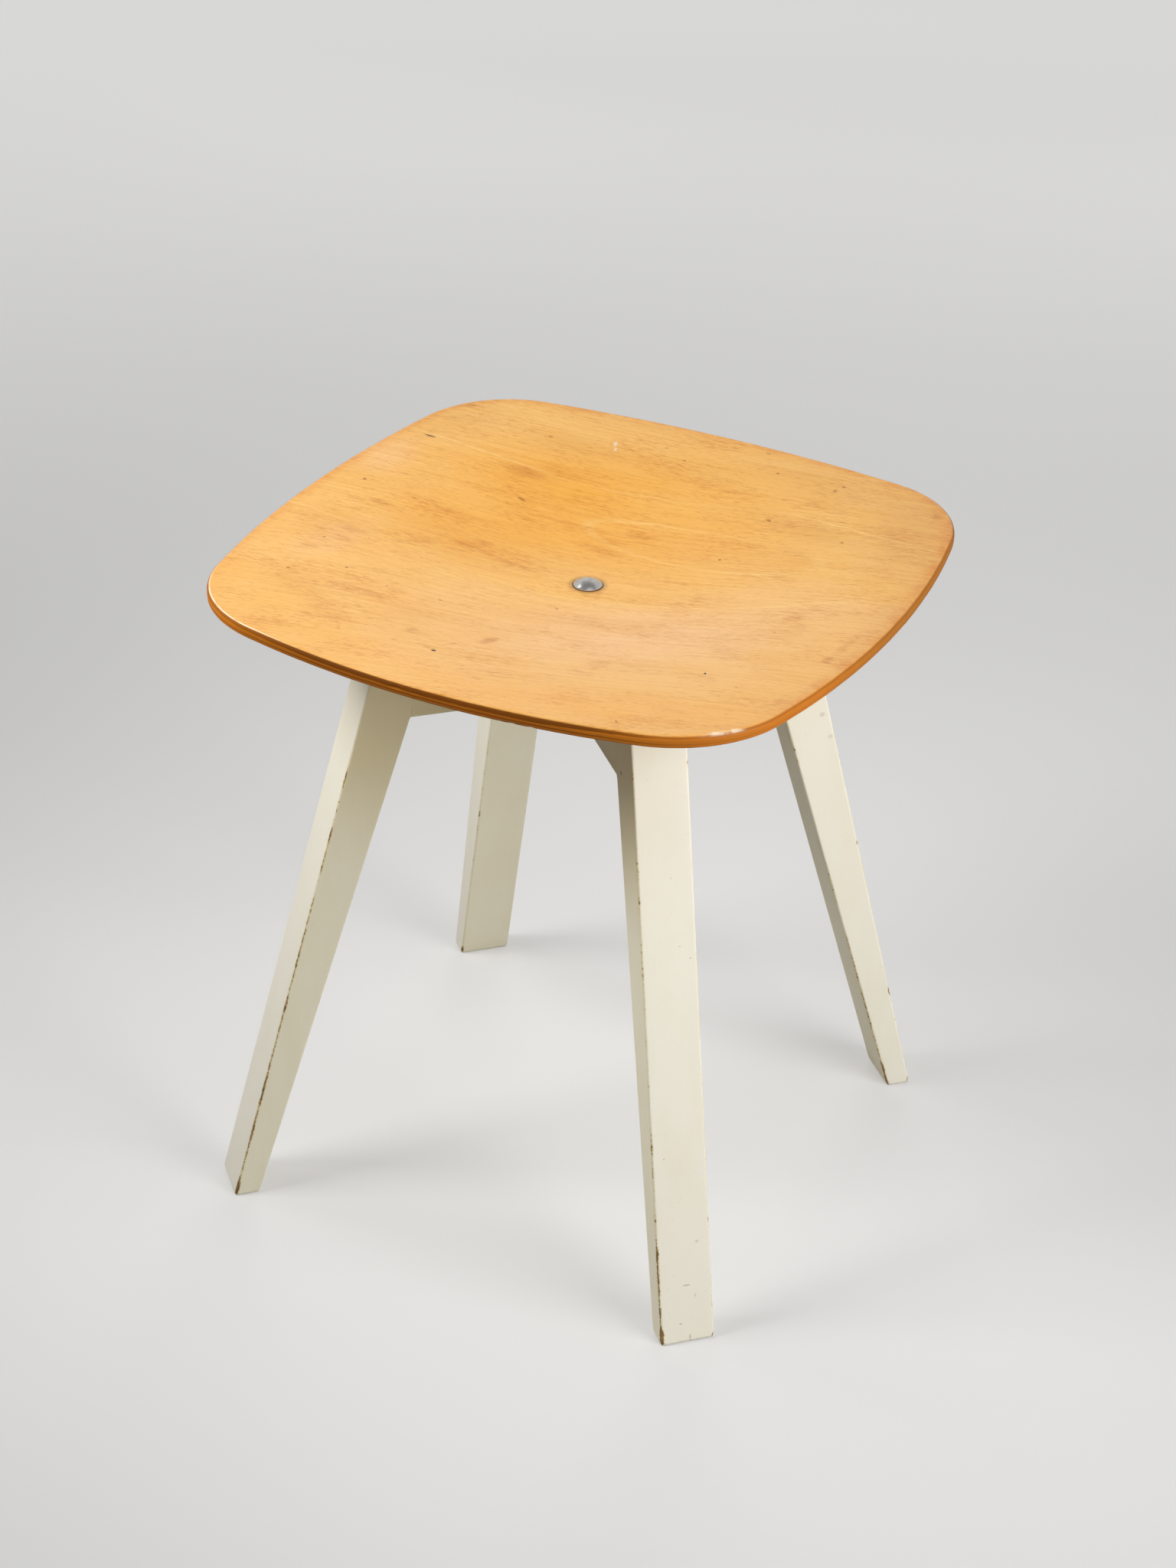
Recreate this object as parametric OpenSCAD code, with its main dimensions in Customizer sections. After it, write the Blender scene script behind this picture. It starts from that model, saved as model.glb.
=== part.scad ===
// Stool with a dished plywood seat on four tapered, splayed legs.
// Two rails cross under the seat and are halved together in the middle.
// Each rail end carries a leg, butted on and held by two glued dowels.
// One cup head bolt clamps the seat down on the crossing of the rails.
// Millimetres, +Z up, floor at z = 0, origin on the floor under the middle of the seat.

/* [Seat] */
// Height of the stool, from the floor to the corners of the seat
stool_h = 430; // [380:1:480]
// Width of the seat, across the middle of its sides
seat_w = 400; // [370:1:440]
// Depth of the seat, across the middle of its front and back
seat_d = 400; // [370:1:440]
// Radius of the bowed sides of the seat
side_r = 640; // [520:10:1000]
// Radius of the corners of the seat
corner_r = 76; // [60:1:90]
// Thickness of the moulded plywood, measured straight down
ply_t = 8; // [7:0.5:12]
// Depth of the dish pressed into the middle
dish_depth = 15; // [8:0.5:20]
// Radius of the dish
dish_r = 185; // [160:1:190]
// Radius of the shallow hollow that the whole sheet follows
sheet_r = 3000; // [2000:50:6000]
// Radius of the flat land in the middle, under the bolt head
land_r = 13; // [12:0.5:16]
// Rounding of the upper arris of the seat
rim_top_r = 3; // [1.5:0.1:3.4]
// Rounding of the lower arris of the seat
rim_low_r = 2.2; // [1:0.1:3]

/* [Frame] */
// Thickness of the legs and the rails
wood_t = 35; // [28:1:42]
// Height of the rails at their crossing
rail_h = 59; // [50:1:72]
// Distance that the outer face of a foot stands out past the corner of the seat
foot_out = 1.7; // [-8:0.1:14]
// Width of a foot, from its outer to its inner face along the floor
foot_w = 16.6; // [14:0.2:24]
// Lean of the outer face of a leg, in degrees from upright
outer_lean = 14.4; // [13:0.1:16]
// Lean of the inner face of a leg, in degrees from upright
inner_lean = 16.9; // [16:0.1:18]
// Lean of the joint between a leg and its rail, in degrees from upright
joint_lean = 8; // [0:0.5:12]
// Rounding of the long arrises of the legs and the rails
arris_r = 1.6; // [0.8:0.1:3]
// Gap between the top of the frame and the seat, filled by paint and varnish
seat_gap = 0.1; // [0.05:0.05:0.3]
// Gap on each side of the halved joint
lap_gap = 0.1; // [0.05:0.05:0.3]

/* [Dowels] */
// Diameter of the dowels
dowel_d = 10; // [8:0.5:12]
// Length of the part of a dowel that sits in the leg
dowel_in_leg = 16; // [12:1:18]
// Length of the part of a dowel that sits in the rail
dowel_in_rail = 20; // [14:1:26]
// Height of the lower dowel above the lower edge of the rail
dowel_low = 18; // [14:1:20]
// Distance between the two dowels of a joint
dowel_pitch = 24; // [18:1:28]
// Chamfer on the ends of the dowels
dowel_chamfer = 1; // [0.5:0.1:2]
// Glue gap round a dowel
glue_gap = 0.1; // [0.05:0.05:0.2]
// Room for glue past each end of a dowel
glue_room = 1.5; // [0.5:0.5:3]

/* [Bolt] */
// Diameter of the bolt
bolt_d = 8; // [6:0.5:10]
// Diameter of the bolt head
head_d = 18; // [15:0.5:21]
// Height of the bolt head
head_h = 4; // [3:0.1:6]
// Height of the upright edge of the bolt head
head_edge = 0.6; // [0.3:0.1:1]
// Depth of the square neck under the bolt head
neck_h = 5; // [4:0.5:6]
// Length of bolt that stands out below the nut
bolt_tail = 4.5; // [2:0.5:10]
// Chamfer on the end of the bolt
bolt_chamfer = 1; // [0.5:0.1:1.5]
// Gap on each side of the square neck in the seat
neck_gap = 0.1; // [0.05:0.05:0.3]
// Gap round the bolt in the rails
bolt_gap = 0.3; // [0.1:0.05:0.6]
// Diameter of the washer
washer_d = 24; // [20:0.5:28]
// Thickness of the washer
washer_t = 2; // [1:0.1:3]
// Gap round the bolt in the washer
washer_gap = 0.2; // [0.1:0.05:0.5]
// Width of the nut across its flats
nut_w = 13; // [12:0.5:17]
// Height of the nut
nut_h = 6.5; // [5:0.1:8]
// Gap between the bolt and the nut at the thread, which is left plain
thread_gap = 0.05; // [0.02:0.01:0.1]

/* [Hidden] */

// Directions of the four legs, seen from above, each a quarter turn past the last
front_right = -45;
back_right = front_right + 90;
back_left = back_right + 90;
front_left = back_left + 90;

// Overlap of a cutting shape past the faces it cuts
cut = 1;
// Facets of the seat: along a side, along a corner, from the middle to the rim, round an arris
side_steps = 14;
corner_steps = 12;
ring_steps = 18;
arris_steps = 4;
// Steps along the curved top of a rail, and along the top of a leg
rail_steps = 24;
leg_steps = 6;

// Centres of the arcs of the outline: right side, back side and back right corner
side_c = seat_w / 2 - side_r;
back_c = seat_d / 2 - side_r;
arc_gap = norm([side_c, back_c]);
arc_reach = sqrt(pow(side_r - corner_r, 2) - pow(arc_gap / 2, 2));
corner_c = [side_c / 2 - arc_reach * back_c / arc_gap, back_c / 2 - arc_reach * side_c / arc_gap];
// Directions at which a side passes into a corner and a corner into the back
turn_side = atan2(corner_c.y, corner_c.x - side_c);
turn_back = atan2(corner_c.y - back_c, corner_c.x);
// Arcs of the outline, counterclockwise: centre, radius, first and last direction, steps
arcs = [
    [[side_c, 0], side_r, -turn_side, turn_side, side_steps],
    [corner_c, corner_r, turn_side, turn_back, corner_steps],
    [[0, back_c], side_r, turn_back, 180 - turn_back, side_steps],
    [[-corner_c.x, corner_c.y], corner_r, 180 - turn_back, 180 - turn_side, corner_steps],
    [[-side_c, 0], side_r, 180 - turn_side, 180 + turn_side, side_steps],
    [-corner_c, corner_r, 180 + turn_side, 180 + turn_back, corner_steps],
    [[0, -back_c], side_r, 180 + turn_back, 360 - turn_back, side_steps],
    [[corner_c.x, -corner_c.y], corner_r, 360 - turn_back, 360 - turn_side, corner_steps]];
// Points of the outline, each with the direction that faces outward there
outline = [for (a = arcs) for (i = [0 : a[4] - 1])
    let (t = a[2] + (a[3] - a[2]) * i / a[4])
    [a[0] + a[1] * [cos(t), sin(t)], [cos(t), sin(t)]]];
corner_reach = norm(corner_c) + corner_r - rim_top_r;
// Distance from the middle of the stool to the outer face of a foot
foot_r = norm(corner_c) + corner_r + foot_out;

// Height of the pressed form above its land, at a distance from the middle
function form(r) = let (q = max(r - land_r, 0))
    dish_depth * (1 - cos(180 * min(q / dish_r, 1))) / 2 + q * q / (2 * sheet_r);
land_z = stool_h - form(corner_reach);
function top_z(r) = land_z + form(r);
// Height of the curve on which the frame carries the seat
function bed_z(r) = top_z(r) - ply_t - seat_gap;
rail_z = bed_z(0) - rail_h;
lap_z = rail_z + rail_h / 2;

// Radius of a leaning line, given its radius on the floor, where it meets the bed
function meet(base, lean, r, n = 8) =
    n == 0 ? r : meet(base, lean, base - tan(lean) * bed_z(abs(r)), n - 1);
// Points of the bed curve between two radii
function bed(r0, r1, n) = [for (i = [0 : n]) let (r = r0 + (r1 - r0) * i / n) [r, bed_z(abs(r))]];
joint_r = foot_r - foot_w - tan(inner_lean) * rail_z;
joint_top = meet(joint_r + rail_z * tan(joint_lean), joint_lean, joint_r);
outer_top = meet(foot_r, outer_lean, joint_r);

// Points at one step of the seat's section: scale towards the middle, inset and drop
function ring(s) = [for (p = outline) let (q = s[0] * (p[0] - s[1] * p[1]))
    [q.x, q.y, top_z(norm(q)) - s[2]]];
seat_section = concat(
    [for (k = [1 : ring_steps]) [k / ring_steps, rim_top_r, 0]],
    [for (k = [1 : arris_steps]) let (a = 90 * k / arris_steps)
        [1, rim_top_r * (1 - sin(a)), rim_top_r * (1 - cos(a))]],
    [for (k = [0 : arris_steps]) let (a = 90 * k / arris_steps)
        [1, rim_low_r * (1 - cos(a)), ply_t - rim_low_r * (1 - sin(a))]],
    [for (k = [ring_steps - 1 : -1 : 1]) [k / ring_steps, rim_low_r, ply_t]]);

bolt_len = land_z - rail_z + washer_t + nut_h + bolt_tail;
dome_rise = head_h - head_edge;
dome_r = (pow(head_d / 2, 2) + pow(dome_rise, 2)) / (2 * dome_rise);

module seat_sheet() {
    n = len(outline);
    m = len(seat_section);
    polyhedron(
        points = [for (s = seat_section) each ring(s)],
        faces = concat(
            [[for (j = [n - 1 : -1 : 0]) j]],
            [for (k = [0 : m - 2]) for (j = [0 : n - 1])
                let (a = k * n + j, b = k * n + (j + 1) % n)
                each [[a, b, b + n], [a, b + n, a + n]]],
            [[for (j = [0 : n - 1]) (m - 1) * n + j]]),
        convexity = 4);
}

module seat() {
    hole_w = bolt_d + 2 * neck_gap;
    color("#e39b45")
    difference() {
        seat_sheet();
        translate([-hole_w / 2, -hole_w / 2, land_z - ply_t - cut])
            cube([hole_w, hole_w, ply_t + 2 * cut]);
    }
}

// Shape that rounds a straight arris along +Z, with the wood on the side of -X and -Y
module arris_cutter(length) {
    linear_extrude(length)
    difference() {
        translate([-arris_r, -arris_r]) square(arris_r + cut);
        translate([-arris_r, -arris_r]) circle(arris_r, $fn = 48);
    }
}

// Rounds both arrises of a face that leans inward from a point on the floor
module face_cutters(base, lean, length) {
    for (side = [0, 1]) mirror([0, side, 0])
        translate([base, wood_t / 2, 0]) rotate([0, -lean, 0])
            translate([0, 0, -cut - arris_r]) arris_cutter(length + 2 * (cut + arris_r));
}

// Puts a shape on a dowel's axis, with z = 0 on the joint between rail and leg
module on_dowel_axis(level) {
    h = dowel_low + level * dowel_pitch;
    translate([joint_r - h * tan(joint_lean), 0, rail_z + h]) rotate([0, 90 - joint_lean, 0])
        children();
}

module dowel_hole(level) {
    on_dowel_axis(level) translate([0, 0, -dowel_in_rail - glue_room])
        cylinder(d = dowel_d + 2 * glue_gap, h = dowel_in_leg + dowel_in_rail + 2 * glue_room, $fn = 64);
}

module dowel(direction, level) {
    color("#d9b27c")
    rotate(direction) on_dowel_axis(level) {
        for (end = [[dowel_in_leg, 0], [dowel_in_rail, 1]]) mirror([0, 0, end[1]]) {
            cylinder(d = dowel_d, h = end[0] - dowel_chamfer, $fn = 64);
            translate([0, 0, end[0] - dowel_chamfer])
                cylinder(d1 = dowel_d, d2 = dowel_d - 2 * dowel_chamfer, h = dowel_chamfer, $fn = 64);
        }
    }
}

module leg(direction) {
    side_view = concat(
        [[foot_r, 0]],
        bed(outer_top, joint_top, leg_steps),
        [[joint_r, rail_z], [foot_r - foot_w, 0]]);
    color("#efe9d8")
    rotate(direction) difference() {
        rotate([90, 0, 0]) linear_extrude(wood_t, center = true) polygon(side_view);
        face_cutters(foot_r, outer_lean, stool_h / cos(outer_lean));
        mirror([1, 0, 0]) face_cutters(foot_w - foot_r, -inner_lean, rail_z / cos(inner_lean));
        for (level = [0, 1]) dowel_hole(level);
    }
}

module rail_blank() {
    side_view = concat(bed(joint_top, -joint_top, rail_steps), [[-joint_r, rail_z], [joint_r, rail_z]]);
    difference() {
        rotate([90, 0, 0]) linear_extrude(wood_t, center = true) polygon(side_view);
        for (side = [0, 1]) mirror([0, side, 0])
            translate([-joint_r - cut, wood_t / 2, rail_z]) rotate([0, 90, 0])
                arris_cutter(2 * (joint_r + cut));
        for (end = [0, 1]) mirror([end, 0, 0])
            for (level = [0, 1]) dowel_hole(level);
        translate([0, 0, rail_z - cut])
            cylinder(d = bolt_d + 2 * bolt_gap, h = rail_h + 2 * cut, $fn = 64);
    }
}

// Notch of the halved joint, from a height down or up past the edge of the rail
module lap_notch(z0, z1) {
    w = wood_t + 2 * lap_gap;
    translate([-w / 2, -w / 2, z0]) cube([w, w, z1 - z0]);
}

module rail_over() {
    color("#e9e3d0")
    rotate(front_right) difference() {
        rail_blank();
        lap_notch(rail_z - cut, lap_z + lap_gap / 2);
    }
}

module rail_under() {
    color("#e4decb")
    rotate(back_right) difference() {
        rail_blank();
        lap_notch(lap_z - lap_gap / 2, stool_h);
    }
}

module bolt() {
    color("#b9bbbd") {
        translate([0, 0, land_z]) intersection() {
            translate([0, 0, head_h - dome_r]) sphere(dome_r, $fn = 96);
            cylinder(d = head_d, h = head_h + cut, $fn = 96);
        }
        translate([-bolt_d / 2, -bolt_d / 2, land_z - neck_h]) cube([bolt_d, bolt_d, neck_h]);
        translate([0, 0, land_z - bolt_len + bolt_chamfer])
            cylinder(d = bolt_d, h = bolt_len - neck_h - bolt_chamfer, $fn = 64);
        translate([0, 0, land_z - bolt_len])
            cylinder(d1 = bolt_d - 2 * bolt_chamfer, d2 = bolt_d, h = bolt_chamfer, $fn = 64);
    }
}

module washer() {
    color("#a9abac")
    translate([0, 0, rail_z - washer_t]) difference() {
        cylinder(d = washer_d, h = washer_t, $fn = 96);
        translate([0, 0, -cut])
            cylinder(d = bolt_d + 2 * washer_gap, h = washer_t + 2 * cut, $fn = 64);
    }
}

// Hexagon nut with its corners turned off at 30 degrees, above and below
module nut() {
    corner_d = nut_w / cos(30);
    turned = (corner_d - nut_w) / 2 * tan(30);
    color("#a3a5a6")
    translate([0, 0, rail_z - washer_t - nut_h]) difference() {
        intersection() {
            cylinder(d = corner_d, h = nut_h, $fn = 6);
            union() {
                cylinder(d1 = nut_w, d2 = corner_d, h = turned, $fn = 96);
                translate([0, 0, turned]) cylinder(d = corner_d, h = nut_h - 2 * turned, $fn = 96);
                translate([0, 0, nut_h - turned]) cylinder(d1 = corner_d, d2 = nut_w, h = turned, $fn = 96);
            }
        }
        translate([0, 0, -cut])
            cylinder(d = bolt_d + 2 * thread_gap, h = nut_h + 2 * cut, $fn = 64);
    }
}

seat();
rail_over();
rail_under();
leg(front_right);  // leg_front_right
leg(back_right);  // leg_back_right
leg(back_left);  // leg_back_left
leg(front_left);  // leg_front_left
dowel(front_right, 0);  // dowel_front_right_low
dowel(front_right, 1);  // dowel_front_right_high
dowel(back_right, 0);  // dowel_back_right_low
dowel(back_right, 1);  // dowel_back_right_high
dowel(back_left, 0);  // dowel_back_left_low
dowel(back_left, 1);  // dowel_back_left_high
dowel(front_left, 0);  // dowel_front_left_low
dowel(front_left, 1);  // dowel_front_left_high
bolt();
washer();
nut();
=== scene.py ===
import math

import bmesh
import bpy
import numpy as np
from mathutils import Matrix, Vector


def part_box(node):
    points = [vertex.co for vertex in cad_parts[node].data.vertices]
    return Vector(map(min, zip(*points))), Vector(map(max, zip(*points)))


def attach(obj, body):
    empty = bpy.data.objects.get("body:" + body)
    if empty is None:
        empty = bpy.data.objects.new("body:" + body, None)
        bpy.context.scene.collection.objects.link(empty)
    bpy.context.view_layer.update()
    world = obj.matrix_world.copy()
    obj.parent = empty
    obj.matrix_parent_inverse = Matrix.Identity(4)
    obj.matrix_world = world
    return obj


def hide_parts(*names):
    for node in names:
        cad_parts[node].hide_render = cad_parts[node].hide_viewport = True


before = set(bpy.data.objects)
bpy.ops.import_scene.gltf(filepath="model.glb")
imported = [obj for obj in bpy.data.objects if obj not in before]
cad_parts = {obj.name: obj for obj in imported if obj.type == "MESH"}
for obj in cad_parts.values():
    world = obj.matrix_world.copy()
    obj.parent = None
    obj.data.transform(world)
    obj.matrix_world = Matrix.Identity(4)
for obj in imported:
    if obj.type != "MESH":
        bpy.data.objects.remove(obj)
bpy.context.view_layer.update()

# Looks of a plywood stool: a varnished, dished seat on four painted, worn legs.
# Lengths are in millimetres until a mesh is made, which takes metres.
MM = 0.001

# Sizes of the seat
STOOL_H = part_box("seat")[1].z / MM
SEAT_W = (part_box("seat")[1].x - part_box("seat")[0].x) / MM
SIDE_R = 640
CORNER_R = 76
PLY_T = 8
DISH_DEPTH = 15
DISH_R = 185
SHEET_R = 3000
LAND_R = 13
RIM_TOP_R = 3
RIM_LOW_R = 2.2
HOLE_W = 8.2

# Sizes of the frame
WOOD_T = 35
RAIL_H = 59
FOOT_OUT = 1.7
FOOT_W = 16.6
OUTER_LEAN = math.radians(14.4)
INNER_LEAN = math.radians(16.9)
JOINT_LEAN = math.radians(8)
ARRIS_R = 1.6
SEAT_GAP = 0.1
LAP_GAP = 0.1
BORE_D = 8.6
DOWEL_HOLE_D = 10.2
DOWEL_LOW = 18
DOWEL_PITCH = 24
HOLE_IN_LEG = 17.5
HOLE_IN_RAIL = 21.5

# Sizes of the bolt, the washer and the nut
BOLT_D = 8
HEAD_D = 18
HEAD_H = 4
HEAD_EDGE = 0.6
NECK_H = 5
BOLT_TAIL = 4.5
BOLT_CHAMFER = 1
THREAD_PITCH = 1.25
THREAD_DEPTH = 0.65
WASHER_D = 24
WASHER_T = 2
WASHER_BORE = 8.4
NUT_W = 13
NUT_H = 6.5
NUT_BORE = 8.1
NUT_CHAMFER = math.radians(30)
CHAMFER_ROWS = (0, 0.15, 0.3, 0.45, 0.6, 0.9, 1.4)

# Directions of the legs in degrees, seen from above
LEGS = {
    "leg_front_right": -45,
    "leg_back_right": 45,
    "leg_back_left": 135,
    "leg_front_left": 225,
}

# The camera in millimetres and degrees, as the photograph was taken
CAMERA_PLACE = (827.6, -1633.7, 1338.4)
CAMERA_YAW = -26.762
CAMERA_PITCH = 30.365
CAMERA_ROLL = 1.532
CAMERA_LENS = 76.77


# Form of the seat

def form(r):
    """Height of the pressed form above its land, at a distance from the middle."""
    q = np.maximum(r - LAND_R, 0)
    dish = DISH_DEPTH * (1 - np.cos(np.pi * np.minimum(q / DISH_R, 1))) / 2
    return dish + q * q / (2 * SHEET_R)


def corner_centre():
    """Distance of the centre of a corner's arc from the middle, along X and along Y."""
    side = SEAT_W / 2 - SIDE_R
    reach = math.sqrt((SIDE_R - CORNER_R) ** 2 - side ** 2 / 2)
    return side / 2 + reach / math.sqrt(2)


CORNER = corner_centre()
CORNER_REACH = CORNER * math.sqrt(2) + CORNER_R
LAND_Z = STOOL_H - float(form(CORNER_REACH - RIM_TOP_R))
FOOT_R = CORNER_REACH + FOOT_OUT


def top_z(r):
    """Height of the seat's top, at a distance from the middle."""
    return LAND_Z + form(r)


def bed_z(r):
    """Height of the curve on which the frame carries the seat."""
    return top_z(r) - PLY_T - SEAT_GAP


RAIL_Z = float(bed_z(0)) - RAIL_H
LAP_Z = RAIL_Z + RAIL_H / 2
JOINT_R = FOOT_R - FOOT_W - math.tan(INNER_LEAN) * RAIL_Z


def seat_outline(spacing):
    """Points counterclockwise along the seat's edge, and the direction facing outward at each."""
    side = SEAT_W / 2 - SIDE_R
    turn = math.atan2(CORNER, CORNER - side)
    side_arc = ((side, 0), SIDE_R, -turn, turn)
    corner_arc = ((CORNER, CORNER), CORNER_R, turn, math.pi / 2 - turn)
    points, facing = [], []
    for quarter in range(4):
        for centre, radius, first, last in (side_arc, corner_arc):
            steps = round(radius * (last - first) / spacing)
            t = first + (last - first) * np.arange(steps) / steps
            t_turned = t + quarter * math.pi / 2
            c, s = math.cos(quarter * math.pi / 2), math.sin(quarter * math.pi / 2)
            middle = np.array([c * centre[0] - s * centre[1], s * centre[0] + c * centre[1]])
            out = np.stack([np.cos(t_turned), np.sin(t_turned)], 1)
            points.append(middle + radius * out)
            facing.append(out)
    return np.concatenate(points), np.concatenate(facing)


# Meshes

def ripple(place, length, phase):
    """Smooth irregular value from -1 to 1 that changes over about the given length."""
    turns = 2 * np.pi * place / length
    long_wave = np.sin(turns + phase)
    middle_wave = np.sin(1.618 * turns + 2.1 * phase)
    short_wave = np.sin(2.414 * turns + 3.7 * phase)
    return (long_wave + middle_wave + short_wave) / 3


def step(value, low, high):
    """Smooth step from 0 at low to 1 at high."""
    t = np.clip((value - low) / (high - low), 0, 1)
    return t * t * (3 - 2 * t)


def grid_mesh(name, rings, ends="capped"):
    """Mesh through rings of points, each closed round, with its two ends capped or joined."""
    count, around = rings.shape[:2]
    j = np.arange(around)
    after = (j + 1) % around
    faces = []
    for i in range(count if ends == "joined" else count - 1):
        a = i * around
        b = (i + 1) % count * around
        faces += np.stack([a + j, a + after, b + after, b + j], 1).tolist()
    if ends == "capped":
        faces.append(list(range(around)))
        faces.append(list(range((count - 1) * around, count * around)))
    mesh = bpy.data.meshes.new(name)
    mesh.from_pydata((rings.reshape(-1, 3) * MM).tolist(), [], faces)
    outward(mesh)
    return mesh


def outward(mesh):
    """Turns the faces of a closed mesh outward and smooths them."""
    bm = bmesh.new()
    bm.from_mesh(mesh)
    bmesh.ops.recalc_face_normals(bm, faces=bm.faces)
    for face in bm.faces:
        face.smooth = True
    bm.to_mesh(mesh)
    bm.free()


def points_of(mesh):
    """The mesh's points in millimetres."""
    flat = np.zeros(len(mesh.vertices) * 3, np.float32)
    mesh.vertices.foreach_get("co", flat)
    return flat.reshape(-1, 3).astype(float) / MM


def store(mesh, name, values):
    """Keeps a number or a vector for each point, for the material to read."""
    kind, field = ("FLOAT", "value") if values.ndim == 1 else ("FLOAT_VECTOR", "vector")
    made = mesh.attributes.new(name, kind, "POINT")
    made.data.foreach_set(field, values.astype(np.float32).ravel())


def link(name, mesh):
    made = bpy.data.objects.new(name, mesh)
    bpy.context.scene.collection.objects.link(made)
    return made


def dress(piece, node):
    """Puts a finished piece in place of a CAD node."""
    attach(piece, "root")
    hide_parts(node)


def cut(piece, cutter_mesh):
    """Takes a closed shape out of a piece."""
    cutter = link("cutter", cutter_mesh)
    tool = piece.modifiers.new("cut", "BOOLEAN")
    tool.operation = "DIFFERENCE"
    tool.solver = "EXACT"
    tool.material_mode = "TRANSFER"
    tool.object = cutter
    result = piece.evaluated_get(bpy.context.evaluated_depsgraph_get())
    piece.data = bpy.data.meshes.new_from_object(result)
    piece.modifiers.clear()
    bpy.data.objects.remove(cutter)


# Nodes

class Graph:
    """The nodes of a material or world. An input is a number, a tuple or another node's output."""

    def __init__(self, owner):
        owner.use_nodes = True
        self.owner = owner
        self.tree = owner.node_tree
        self.tree.nodes.clear()

    def node(self, kind, inputs, **settings):
        made = self.tree.nodes.new("ShaderNode" + kind)
        for key, value in settings.items():
            setattr(made, key, value)
        for key, value in inputs.items():
            socket = made.inputs[key]
            if isinstance(value, bpy.types.NodeSocket):
                self.tree.links.new(value, socket)
            elif socket.type == "RGBA":
                socket.default_value = (*value, 1)
            else:
                socket.default_value = value
        return made

    def math(self, operation, a, b=0.0, c=0.0):
        return self.node("Math", {0: a, 1: b, 2: c}, operation=operation).outputs[0]

    def add(self, a, b):
        return self.math("ADD", a, b)

    def times(self, a, b):
        return self.math("MULTIPLY", a, b)

    def most(self, a, b):
        return self.math("MAXIMUM", a, b)

    def reach(self, value, low, high, to_low=0.0, to_high=1.0):
        """Smooth step of a value from to_low at low to to_high at high."""
        inputs = {0: value, 1: low, 2: high, 3: to_low, 4: to_high}
        return self.node("MapRange", inputs, interpolation_type="SMOOTHSTEP").outputs[0]

    def mix(self, share, a, b):
        """Colour a where share is 0 and b where it is 1."""
        return self.node("Mix", {0: share, 6: a, 7: b}, data_type="RGBA").outputs[2]

    def stained(self, share, colour, tint):
        """Multiplies a colour by a tint, as far as share says."""
        inputs = {0: share, 6: colour, 7: tint}
        made = self.node("Mix", inputs, data_type="RGBA", blend_type="MULTIPLY")
        return made.outputs[2]

    def vector(self, operation, a, b=(0, 0, 0), c=(0, 0, 0)):
        made = self.node("VectorMath", {0: a, 1: b, 2: c}, operation=operation)
        return made.outputs[1 if operation in ("LENGTH", "DOT_PRODUCT") else 0]

    def split(self, vector):
        return self.node("SeparateXYZ", {0: vector}).outputs

    def noise(self, vector, lengths, detail=2.0, roughness=0.5, distortion=0.0):
        """Noise from 0 to 1 whose features are about as long as lengths says, along each axis."""
        scaled = self.vector("MULTIPLY", vector, tuple(1 / x for x in lengths))
        inputs = {"Vector": scaled, "Scale": 1, "Detail": detail}
        inputs.update({"Roughness": roughness, "Distortion": distortion})
        return self.node("TexNoise", inputs).outputs[0]

    def attribute(self, name, output):
        return self.node("Attribute", {}, attribute_name=name).outputs[output]

    def place(self):
        """The point in millimetres, in the stool's frame."""
        here = self.node("TexCoord", {}).outputs["Object"]
        return self.vector("MULTIPLY", here, (1 / MM,) * 3)

    def bump(self, height, depth, strength=1.0):
        """Bump of a height from 0 to 1 that stands for a depth in millimetres."""
        inputs = {"Height": height, "Distance": depth * MM, "Strength": strength}
        return self.node("Bump", inputs).outputs[0]

    def finish(self, inputs):
        """Ends in a principled shader and gives back the material."""
        shader = self.node("BsdfPrincipled", inputs)
        self.node("OutputMaterial", {0: shader.outputs[0]})
        return self.owner


def new_graph(name):
    return Graph(bpy.data.materials.new(name))


# Seat

GRAIN_TURN = math.radians(9.7)
GRAIN_BEND_Y = math.radians(-0.0375)
GRAIN_BEND_X = math.radians(-0.015)
RIM_STEP = 1.5
TOP_ROWS = 110

# Chips in the rim: direction in degrees, drop below the top, half length, half height, depth
CHIPS = [
    (-76.9, 7.2, 1.6, 0.7, 0.7),
    (-74.7, 7.3, 2.4, 0.8, 0.9),
    (-73.5, 7.0, 1.3, 0.6, 0.6),
    (-71.7, 7.4, 1.8, 0.7, 0.8),
    (-75.6, 2.5, 1.0, 0.5, 0.4),
    (-95.7, 3.4, 3.4, 0.8, 0.45),
    (-91.8, 3.5, 1.6, 0.6, 0.35),
    (-83.2, 4.0, 1.8, 0.6, 0.35),
    (-61.2, 5.0, 1.2, 0.6, 0.3),
]

# Growth lines that run across the seat, as places along them
LINE_BACK = [
    (-210, 105), (-60, 104), (0, 113), (31, 118), (77, 126), (106, 121), (144, 113), (210, 107),
]
LINE_FRONT = [
    (-210, -27), (-21, -27), (26, -15), (81, -1.5), (114, 7), (139, 18.5), (164, 31), (210, 37),
]
EYE_MIDDLE = (45, 67)
EYE_HALF = (80, 21)


def band(value, low, high, soft):
    """1 between low and high, falling to 0 over a soft edge."""
    return step(value, low - soft, low + soft) * (1 - step(value, high - soft, high + soft))


def rim_profile():
    """Inset and drop of the rim's rows, from the top over the two arrises to the underside."""
    a = np.linspace(0, np.pi / 2, 12)
    straight = np.linspace(RIM_TOP_R, PLY_T - RIM_LOW_R, 9)[1:-1]
    top = np.stack([RIM_TOP_R * (1 - np.sin(a)), RIM_TOP_R * (1 - np.cos(a))], 1)
    side = np.stack([0 * straight, straight], 1)
    low = np.stack([RIM_LOW_R * (1 - np.cos(a)), PLY_T - RIM_LOW_R * (1 - np.sin(a))], 1)
    return np.concatenate([top, side, low])


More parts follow.
